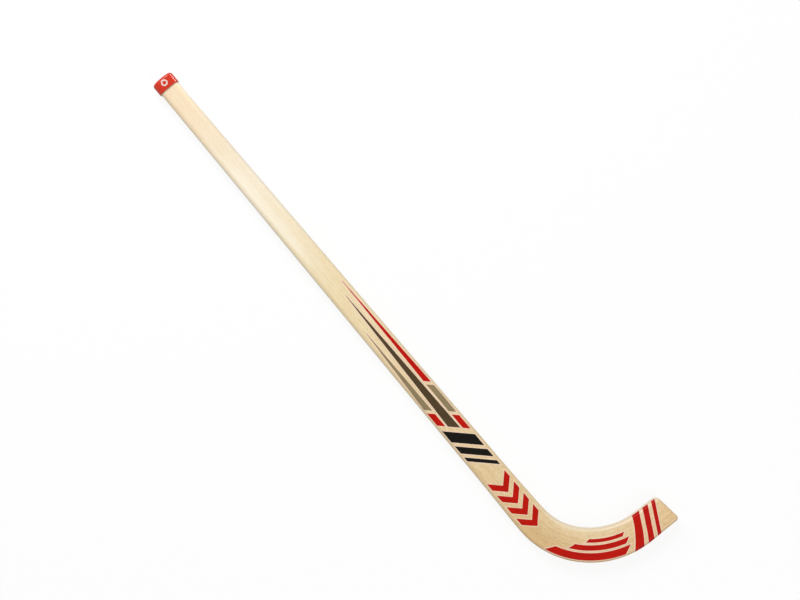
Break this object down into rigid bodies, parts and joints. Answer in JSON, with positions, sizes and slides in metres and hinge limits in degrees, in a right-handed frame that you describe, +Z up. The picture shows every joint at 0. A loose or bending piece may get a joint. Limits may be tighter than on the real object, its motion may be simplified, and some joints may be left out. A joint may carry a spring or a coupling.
{
  "type": "roller hockey stick",
  "caption": "Laminated wooden rink hockey stick with a tapering shaft, a hooked blade bent to nearly a right angle, a squared toe and a push-on end cap.",
  "frame": {"origin": "on the floor under the middle of the stick's box, the stick lying on its flat side", "axes": "+X along the shaft from the butt to the blade, +Y towards the open side of the hook, +Z up through the thickness"},
  "size_m": [0.9236, 0.1784, 0.0243],
  "materials": {
    "pale_ash": "clear satin lacquer",
    "tan_ash": "clear satin lacquer",
    "red_plastic": "glossy moulded plastic",
    "mark_ink": "pad-printed ink on the cap",
    "red_ink": "screen-printed enamel ink under clear lacquer",
    "brown_ink": "screen-printed enamel ink under clear lacquer",
    "khaki_ink": "screen-printed enamel ink under clear lacquer",
    "black_ink": "screen-printed enamel ink under clear lacquer",
    "cream_ink": "screen-printed enamel ink under clear lacquer"
  },
  "bodies": {
    "stick": {"lamella_1": "pale_ash", "lamella_2": "tan_ash", "lamella_3": "pale_ash", "lamella_4": "tan_ash", "lamella_5": "pale_ash", "lamella_6": "tan_ash", "lamella_7": "pale_ash", "lamella_8": "tan_ash", "lamella_9": "pale_ash"},
    "cap": {"end_cap": "red_plastic"}
  },
  "joints": [
    {"name": "cap_pull", "type": "slide", "parent": "stick", "child": "cap", "axis": [-1, 0, 0], "range_m": [0, 0.0157]}
  ]
}
